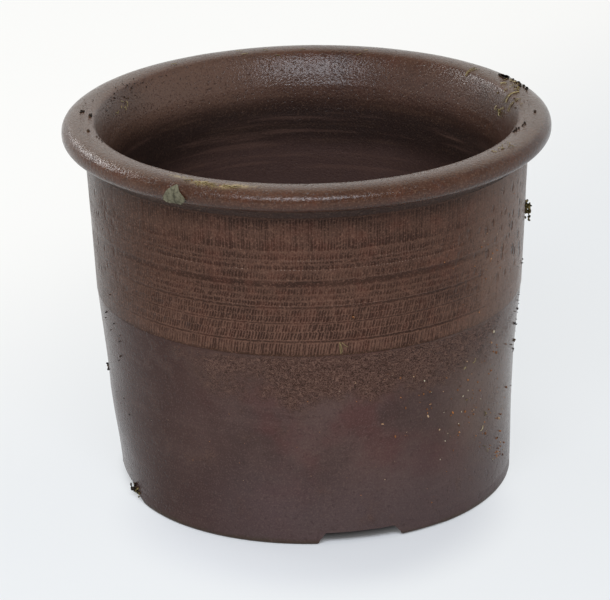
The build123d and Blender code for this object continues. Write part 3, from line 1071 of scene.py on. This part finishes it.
def finishLitter(tree, result, shapes, spotOf, ceiling, material):
    # nothing stands higher than the ceiling
    wayOut = litterSkin["wayOut"]
    limit = addNode(tree, "ShaderNodeCombineXYZ", {0: wayOut, 1: wayOut, 2: ceiling})
    whole = addNode(tree, "GeometryNodeRealizeInstances", {"Geometry": shapes.outputs[0]})
    spot = spotOf(addNode(tree, "GeometryNodeInputPosition").outputs[0])
    moved = addNode(tree, "GeometryNodeSetPosition", {
        "Geometry": whole.outputs[0], "Position": vectorMaths("MINIMUM", spot, limit.outputs[0])})
    dressed = addNode(tree, "GeometryNodeSetMaterial", {"Geometry": moved.outputs[0], "Material": material})
    tree.links.new(dressed.outputs[0], result.inputs[0])
    return tree


def crumbTree(skin):
    # a lump on every given point, each turned, stretched and roughened its own way
    tree, given, result = newGeometryTree("strewCrumbs", [
        ("Detail", "Int", 1), ("Jaggedness", "Float", 0.8), ("Ceiling", "Float", 0.28), ("Seed", "Int", 1),
        ("Crumb", "Material", None)])
    girth = fieldOf(tree, "girth")

    def drawn(seed, least, most):
        return addNode(tree, "FunctionNodeRandomValue", {"Seed": seed, 0: least, 1: most},
                       data_type="FLOAT_VECTOR").outputs[0]

    def roughened(place):
        jag = addNode(tree, "ShaderNodeTexNoise", {
            "Vector": place, "Scale": maths("DIVIDE", skin["lumpShare"], girth), "Detail": 1.0})
        jag = vectorMaths("SUBTRACT", jag.outputs["Color"], (0.5, 0.5, 0.5))
        jag = vectorMaths("SCALE", jag, Scale=times(girth, given["Jaggedness"]))
        return vectorMaths("ADD", place, jag)

    lump = addNode(tree, "GeometryNodeMeshIcoSphere", {"Radius": 1.0, "Subdivisions": given["Detail"]})
    shape = drawn(maths("ADD", given["Seed"], 1.0), skin["flattest"], skin["roundest"])
    lumps = addNode(tree, "GeometryNodeInstanceOnPoints", {
        "Points": given["Geometry"], "Instance": lump.outputs["Mesh"],
        "Rotation": drawn(given["Seed"], (0, 0, 0), skin["allRound"]),
        "Scale": vectorMaths("SCALE", shape, Scale=girth)})
    return finishLitter(tree, result, lumps, roughened, given["Ceiling"], given["Crumb"])


def strawTree():
    # a four-sided stalk along every given line
    tree, given, result = newGeometryTree("layStraws", [
        ("Ceiling", "Float", 0.28), ("Straw", "Material", None)])
    lines = addNode(tree, "GeometryNodeMeshToCurve", {"Mesh": given["Geometry"]})
    ring = addNode(tree, "GeometryNodeCurvePrimitiveCircle", {"Resolution": 4, "Radius": 1.0})
    stalks = addNode(tree, "GeometryNodeCurveToMesh", {
        "Curve": lines.outputs[0], "Profile Curve": ring.outputs["Curve"], "Scale": fieldOf(tree, "girth"),
        "Fill Caps": True})
    return finishLitter(tree, result, stalks, lambda place: place, given["Ceiling"], given["Straw"])


# each place: on rim or wall, middle angle and reach, middle place and reach, how many, half widths
soilCrumbs = {
    "seed": 5, "detail": 2, "lift": 0.45,
    "places": [
        (onRim, (-90.4, 1.2), (-6.6, 1.2), 12, (0.8, 1.5)), (onRim, (-93.1, 1.0), (0.3, 1.4), 9, (0.8, 1.4)),
        (onRim, (-77.3, 1.2), (-3.5, 1.0), 8, (0.7, 1.2)), (onRim, (-71, 4.5), (-7.5, 1), 12, (0.25, 0.6)),
        (onRim, (-93, 16), (-2, 8), 14, (0.25, 0.5)), (onRim, (-116, 22), (-13, 8), 40, (0.35, 0.75)),
        (onRim, (116.6, 2.2), (3.6, 2.2), 30, (1.4, 2.6)), (onRim, (110, 5.5), (6.0, 2.4), 34, (0.5, 1.3)),
        (onRim, (71.5, 2.4), (-6.5, 1.6), 24, (0.5, 1.2)), (onRim, (76, 2.2), (-2.5, 1.6), 14, (0.4, 1.0)),
        (onRim, (86.3, 0.5), (2.5, 0.6), 4, (0.8, 1.2)), (onRim, (98.7, 0.8), (-8.7, 0.6), 4, (0.6, 1.0)),
        (onRim, (93.4, 0.8), (-11, 0.6), 3, (0.4, 0.7)), (onRim, (100, 30), (-4, 11), 18, (0.2, 0.45)),
        (onRim, (178, 34), (-8, 9), 16, (0.2, 0.45)), (onWall, (80, 9), (120, 60), 26, (0.4, 1.0)),
        (onWall, (-66, 10), (120, 60), 14, (0.4, 0.8)), (onWall, (-84, 1.2), (86, 4), 7, (0.6, 1.2)),
        (onWall, (-65, 1.6), (8, 5), 24, (0.8, 1.7)), (offWall, (-65, 1.2), (7, 3), 6, (0.7, 1.2))],
}
looseGrit = {
    "seed": 9, "detail": 1, "lift": 0.3,
    "places": [
        (onWall, (52, 22), (80, 66), 90, (0.35, 1.15)), (onWall, (30, 16), (95, 50), 22, (0.35, 1.0)),
        (onWall, (66, 8), (30, 20), 18, (0.5, 1.1)), (onWall, (52, 20), (200, 50), 30, (0.3, 0.7)),
        (onWall, (0, 70), (80, 70), 44, (0.25, 0.5)), (onRim, (-24, 14), (4, 4), 14, (0.3, 0.7)),
        (onWall, (11, 0.3), (178.5, 0.5), 3, (0.7, 0.9))],
}
mossTufts = {
    "seed": 14, "detail": 2, "lift": 0.6,
    "places": [
        (onWall, (86, 1.6), (204, 9), 18, (1.0, 2.0)), (offWall, (86.3, 1.4), (202, 7), 20, (0.9, 1.8)),
        (onWall, (-63, 3), (6, 4), 8, (0.8, 1.5)), (onRim, (102, 5), (-24, 5), 18, (0.3, 0.8)),
        (onRim, (106, 3), (0, 4), 8, (0.4, 0.9))],
}
# each place as above, then lengths, and heading and its reach
dryStraws = {
    "seed": 3, "points": 7, "girth": (0.14, 0.36), "tipShare": 0.5, "bend": 60, "hump": 0.8,
    "places": [
        (onRim, (-24, 8), (5, 2.5), 22, (3, 9), (5, 35)), (onRim, (111, 5), (4, 2), 12, (2, 5), (0, 90)),
        (onRim, (103.6, 0.6), (-1.5, 0.5), 4, (14, 17), (-98, 8)),
        (onRim, (127, 0.8), (-12, 1), 4, (10, 14), (85, 12)),
        (onRim, (97.6, 0.4), (-10, 0.5), 3, (8, 11), (-104, 8)),
        (onRim, (100, 26), (-5, 10), 12, (2, 6), (60, 90)),
        (onRim, (-112, 6), (-22, 4), 8, (2, 4), (0, 90)), (onRim, (190, 50), (-6, 6), 8, (3, 7), (0, 90)),
        (onWall, (7.4, 0.8), (160, 2), 3, (6, 10), (-80, 60)),
        (onWall, (58, 16), (80, 60), 9, (2, 5), (40, 90)),
        (onRim, (57, 8), (1, 5), 8, (2, 5), (0, 60)), (onRim, (103, 5), (-24, 4), 7, (2, 5), (60, 90))],
}
leafScrap = {
    "angle": -30.7, "top": 11.5, "long": 15.0, "stem": 0.7, "wide": 9.4, "widest": 0.8, "thick": 0.3,
    "lift": 0.35, "curl": 1.5, "rows": 14, "columns": 13, "seed": 21, "smoothAngle": 40,
    "tipTaper": 0.35, "tipCurve": 1.5, "edgeFrom": 0.9, "edgeWave": 0.08, "sweptBack": 0.22, "ripple": 0.4,
    "ribHalf": 0.18, "atRadius": 178,
}
# dark, middle and light colour, scale and share of the grain, shine
soil = litterOf("drySoil", (22, 18, 14), (44, 34, 26), (96, 74, 52), 1500.0, 0.6, 0.2)
grit = litterOf("tanGrit", (104, 66, 40), (176, 112, 58), (196, 186, 160), 1800.0, 0.4, 0.3)
moss = litterOf("dryMoss", (30, 30, 18), (104, 90, 52), (168, 150, 98), 1600.0, 0.6, 0.15)
straw = litterOf("paleStraw", (104, 88, 56), (152, 134, 92), (186, 170, 128), 900.0, 0.5, 0.3)
leaf = litterOf("deadLeaf", (48, 44, 34), (104, 100, 80), (126, 122, 102), 420.0, 0.5, 0.25)
crumbs, straws = crumbTree(litterSkin), strawTree()


def strew(name, sizes, material):
    draw = np.random.default_rng(sizes["seed"])
    spots, girths, tones = [], [], []
    for where, (angle, angleReach), (place, placeReach), count, (small, large) in sizes["places"]:
        for number in range(count):
            girth = small + (large - small) * draw.random() ** 2
            spots.append(where(angle + angleReach * (draw.random() - draw.random()),
                               place + placeReach * (draw.random() - draw.random()), girth * sizes["lift"]))
            girths.append(girth * mm)
            tones.append(draw.random())
    piece = makeObject(name, spots, [], {"girth": np.array(girths), "tone": np.array(tones)})
    bakeTree(piece, crumbs, {"Detail": sizes["detail"], "Ceiling": crestHeight * mm, "Seed": sizes["seed"],
                             "Crumb": material})
    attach(piece, "root")


def layStraws(name, sizes, material):
    draw = np.random.default_rng(sizes["seed"])
    last = sizes["points"] - 1
    spots, edges, girths, tones = [], [], [], []
    for where, (angle, angleReach), (place, placeReach), count, lengths, heading in sizes["places"]:
        for number in range(count):
            along = angle + angleReach * (draw.random() - draw.random())
            across = place + placeReach * (draw.random() - draw.random())
            way = radians(heading[0] + heading[1] * (draw.random() - draw.random()))
            bend = radians(sizes["bend"]) * draw.normal() / sizes["points"]
            step = draw.uniform(*lengths) / last
            girth, tone = draw.uniform(*sizes["girth"]), draw.random()
            hump = sizes["hump"] * draw.random()
            for point in range(sizes["points"]):
                if point:
                    edges.append((len(spots) - 1, len(spots)))
                spots.append(where(along, across, girth + hump * sin(pi * point / last)))
                girths.append(girth * mm * (1.0 if point < last else sizes["tipShare"]))
                tones.append(tone)
                along += degrees(cos(way) * step / rolledRim["crestRadius"])
                across += sin(way) * step
                way += bend
    piece = makeObject(name, spots, [], {"girth": np.array(girths), "tone": np.array(tones)}, edges=edges)
    bakeTree(piece, straws, {"Ceiling": crestHeight * mm, "Straw": material})
    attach(piece, "root")


def makeLeaf(sizes, material):
    rows, columns, widest = sizes["rows"], sizes["columns"], sizes["widest"]
    draw = np.random.default_rng(sizes["seed"])
    spots, tones = [], []
    for layer in (1, 0):
        for row in range(rows):
            down = row / (rows - 1)
            half = sizes["stem"] + (sizes["wide"] - sizes["stem"]) * min(1, down / widest)
            half *= 1 - sizes["tipTaper"] * (max(0, down - widest) / (1 - widest)) ** sizes["tipCurve"]
            for column in range(columns):
                side = 2 * column / (columns - 1) - 1
                wave = sizes["edgeWave"] * sin(9 * down + 2 * side) if abs(side) > sizes["edgeFrom"] else 0
                away = side * half * (1 + wave)
                drop = sizes["top"] + sizes["long"] * (down - sizes["sweptBack"] * side * side * down)
                lift = sizes["lift"] + sizes["curl"] * side * side * down
                lift += sizes["ripple"] * sin(5 * down) ** 2 + layer * sizes["thick"]
                spots.append(onRim(sizes["angle"] + degrees(away / sizes["atRadius"]), drop, lift))
                rib = min(1, abs(side) / sizes["ribHalf"])
                tones.append(0.2 + 0.6 * rib * (0.6 + 0.4 * draw.random()))
    size = rows * columns
    faces = []
    for row in range(rows - 1):
        for column in range(columns - 1):
            a = row * columns + column
            faces.append([a, a + columns, a + columns + 1, a + 1])
            faces.append([size + a, size + a + 1, size + a + columns + 1, size + a + columns])
    border = list(range(columns)) + [r * columns + columns - 1 for r in range(1, rows)]
    border += [(rows - 1) * columns + c for c in range(columns - 2, -1, -1)]
    border += [r * columns for r in range(rows - 2, 0, -1)]
    for a, b in zip(border, border[1:] + border[:1]):
        faces.append([a, b, size + b, size + a])
    piece = makeObject("leafScrap", spots, faces, {"tone": np.array(tones)}, sizes["smoothAngle"])
    piece.data.materials.append(material)
    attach(piece, "root")


strew("soilCrumbs", soilCrumbs, soil)
strew("looseGrit", looseGrit, grit)
strew("mossTufts", mossTufts, moss)
layStraws("dryStraws", dryStraws, straw)
makeLeaf(leafScrap, leaf)
print("litter laid")


# lengths, places and sizes here are in metres
studio = {
    "paper": rgb(231, 233, 235), "paperRoughness": 0.85, "paperShine": 0.2,
    "sweepFront": -3.0, "sweepBend": 1.6, "bendRadius": 1.2, "sweepTop": 4.0, "sweepHalf": 4.0,
    "sweepDrop": 0.0002,
    "glowNear": rgb(240, 243, 245), "glowFar": rgb(255, 255, 253), "glowLean": 1.2, "glowReach": (0.1, 0.9),
    "glowShares": (0.2, 0.8, 0.92), "farReach": (0.2, 1.2),
    "shadeMiddle": (0.0, -0.09, 0.0), "shadeReach": (0.1, 0.16), "underReach": (0.13, 0.152),
    "sideSky": 0.85, "topSky": 0.45, "skyRise": (0.1, 0.55), "frontSky": 0.25, "skyFront": (-0.85, -0.15),
    "skyColour": (1.0, 0.972, 0.93, 1.0), "aimHeight": 0.2,
    # direction, distance, size, power and colour
    "keyBox": ((-4, 44), 1.7, (1.3, 0.58), 22.5, (0.95, 1.0, 1.09)),
    "sideBox": ((-129, 33), 1.7, (1.0, 0.17), 7.5, (1.0, 1.0, 1.0)),
    "lens": 174.3, "sensor": 36, "place": (-0.0034, -2.0665, 0.9474), "tilt": 68.43, "roll": -1.076,
}


def makeSweep(sizes):
    bend, radius, half = sizes["sweepBend"], sizes["bendRadius"], sizes["sweepHalf"]
    profile = [(sizes["sweepFront"], 0.0), (bend, 0.0)] + arcPoints((bend, radius), radius, -82, 0, 12)
    profile += [(bend + radius, sizes["sweepTop"])]
    spots = [(x, y, z - sizes["sweepDrop"]) for y, z in profile for x in (-half, half)]
    faces = [[2 * i, 2 * i + 1, 2 * i + 3, 2 * i + 2] for i in range(len(profile) - 1)]
    mesh = bpy.data.meshes.new("paperSweep")
    mesh.from_pydata(spots, [], faces)
    mesh.shade_smooth()
    sweep = bpy.data.objects.new("paperSweep", mesh)
    scene.collection.objects.link(sweep)
    material, tree, shader, place = newMaterial("sweepPaper")
    shader.inputs["Base Color"].default_value = sizes["paper"]
    shader.inputs["Roughness"].default_value = sizes["paperRoughness"]
    shader.inputs["Specular IOR Level"].default_value = sizes["paperShine"]
    # the paper looks as bright as it does in a white studio, and still takes the pot's shadow
    parts = addNode(tree, "ShaderNodeSeparateXYZ", {0: place}).outputs
    slope = minus(parts["Y"], times(parts["X"], sizes["glowLean"]))
    glowColour = blendColour(ramp(slope, *sizes["glowReach"]), sizes["glowNear"], sizes["glowFar"])
    glow = addNode(tree, "ShaderNodeEmission", {"Color": glowColour})
    rays = addNode(tree, "ShaderNodeLightPath").outputs
    seen = maths("MAXIMUM", rays["Is Glossy Ray"], rays["Is Transmission Ray"])
    seen = maths("MAXIMUM", rays["Is Camera Ray"], seen)
    near, wide, far = sizes["glowShares"]
    away = vectorMaths("DISTANCE", place, sizes["shadeMiddle"])
    share = ramp(away, *sizes["shadeReach"], near, wide)
    share = maths("ADD", share, ramp(slope, *sizes["farReach"], 0.0, far - wide))
    share = times(share, ramp(vectorMaths("LENGTH", place), *sizes["underReach"]))
    mixed = addNode(tree, "ShaderNodeMixShader", {
        0: times(seen, share), 1: shader.outputs[0], 2: glow.outputs[0]})
    tree.links.new(mixed.outputs[0], next(n for n in tree.nodes if n.type == "OUTPUT_MATERIAL").inputs[0])
    mesh.materials.append(material)


def aimLight(name, aimHeight, direction, distance, size, power, colour):
    turn, rise = map(radians, direction)
    back = Vector((sin(turn) * cos(rise), -cos(turn) * cos(rise), sin(rise)))
    lamp = bpy.data.lights.new(name, "AREA")
    lamp.shape = "RECTANGLE"
    lamp.size, lamp.size_y = size
    lamp.energy = power
    lamp.color = colour
    thing = bpy.data.objects.new(name, lamp)
    thing.location = Vector((0, 0, aimHeight)) + back * distance
    thing.rotation_euler = back.to_track_quat("Z", "Y").to_euler()
    scene.collection.objects.link(thing)


def makeStudio(sizes):
    makeSweep(sizes)
    for name in ("keyBox", "sideBox"):
        aimLight(name, sizes["aimHeight"], *sizes[name])
    world = bpy.data.worlds.new("studioWorld")
    world.use_nodes = True
    tree = world.node_tree
    background = tree.nodes["Background"]
    background.inputs["Color"].default_value = sizes["skyColour"]
    # white walls at the sides and back, a darker ceiling, and the dark room behind the camera
    way = addNode(tree, "ShaderNodeTexCoord").outputs["Generated"]
    way = addNode(tree, "ShaderNodeSeparateXYZ", {0: way}).outputs
    sky = ramp(way["Z"], *sizes["skyRise"], sizes["sideSky"], sizes["topSky"])
    sky = times(sky, ramp(way["Y"], *sizes["skyFront"], sizes["frontSky"], 1.0))
    tree.links.new(sky, background.inputs["Strength"])
    scene.world = world
    lens = bpy.data.cameras.new("studioCamera")
    lens.lens, lens.sensor_width = sizes["lens"], sizes["sensor"]
    camera = bpy.data.objects.new("studioCamera", lens)
    camera.matrix_world = Matrix.Translation(sizes["place"]) \
        @ Matrix.Rotation(radians(sizes["tilt"]), 4, "X") @ Matrix.Rotation(radians(sizes["roll"]), 4, "Z")
    scene.collection.objects.link(camera)
    scene.camera = camera


makeStudio(studio)
print("studio set")
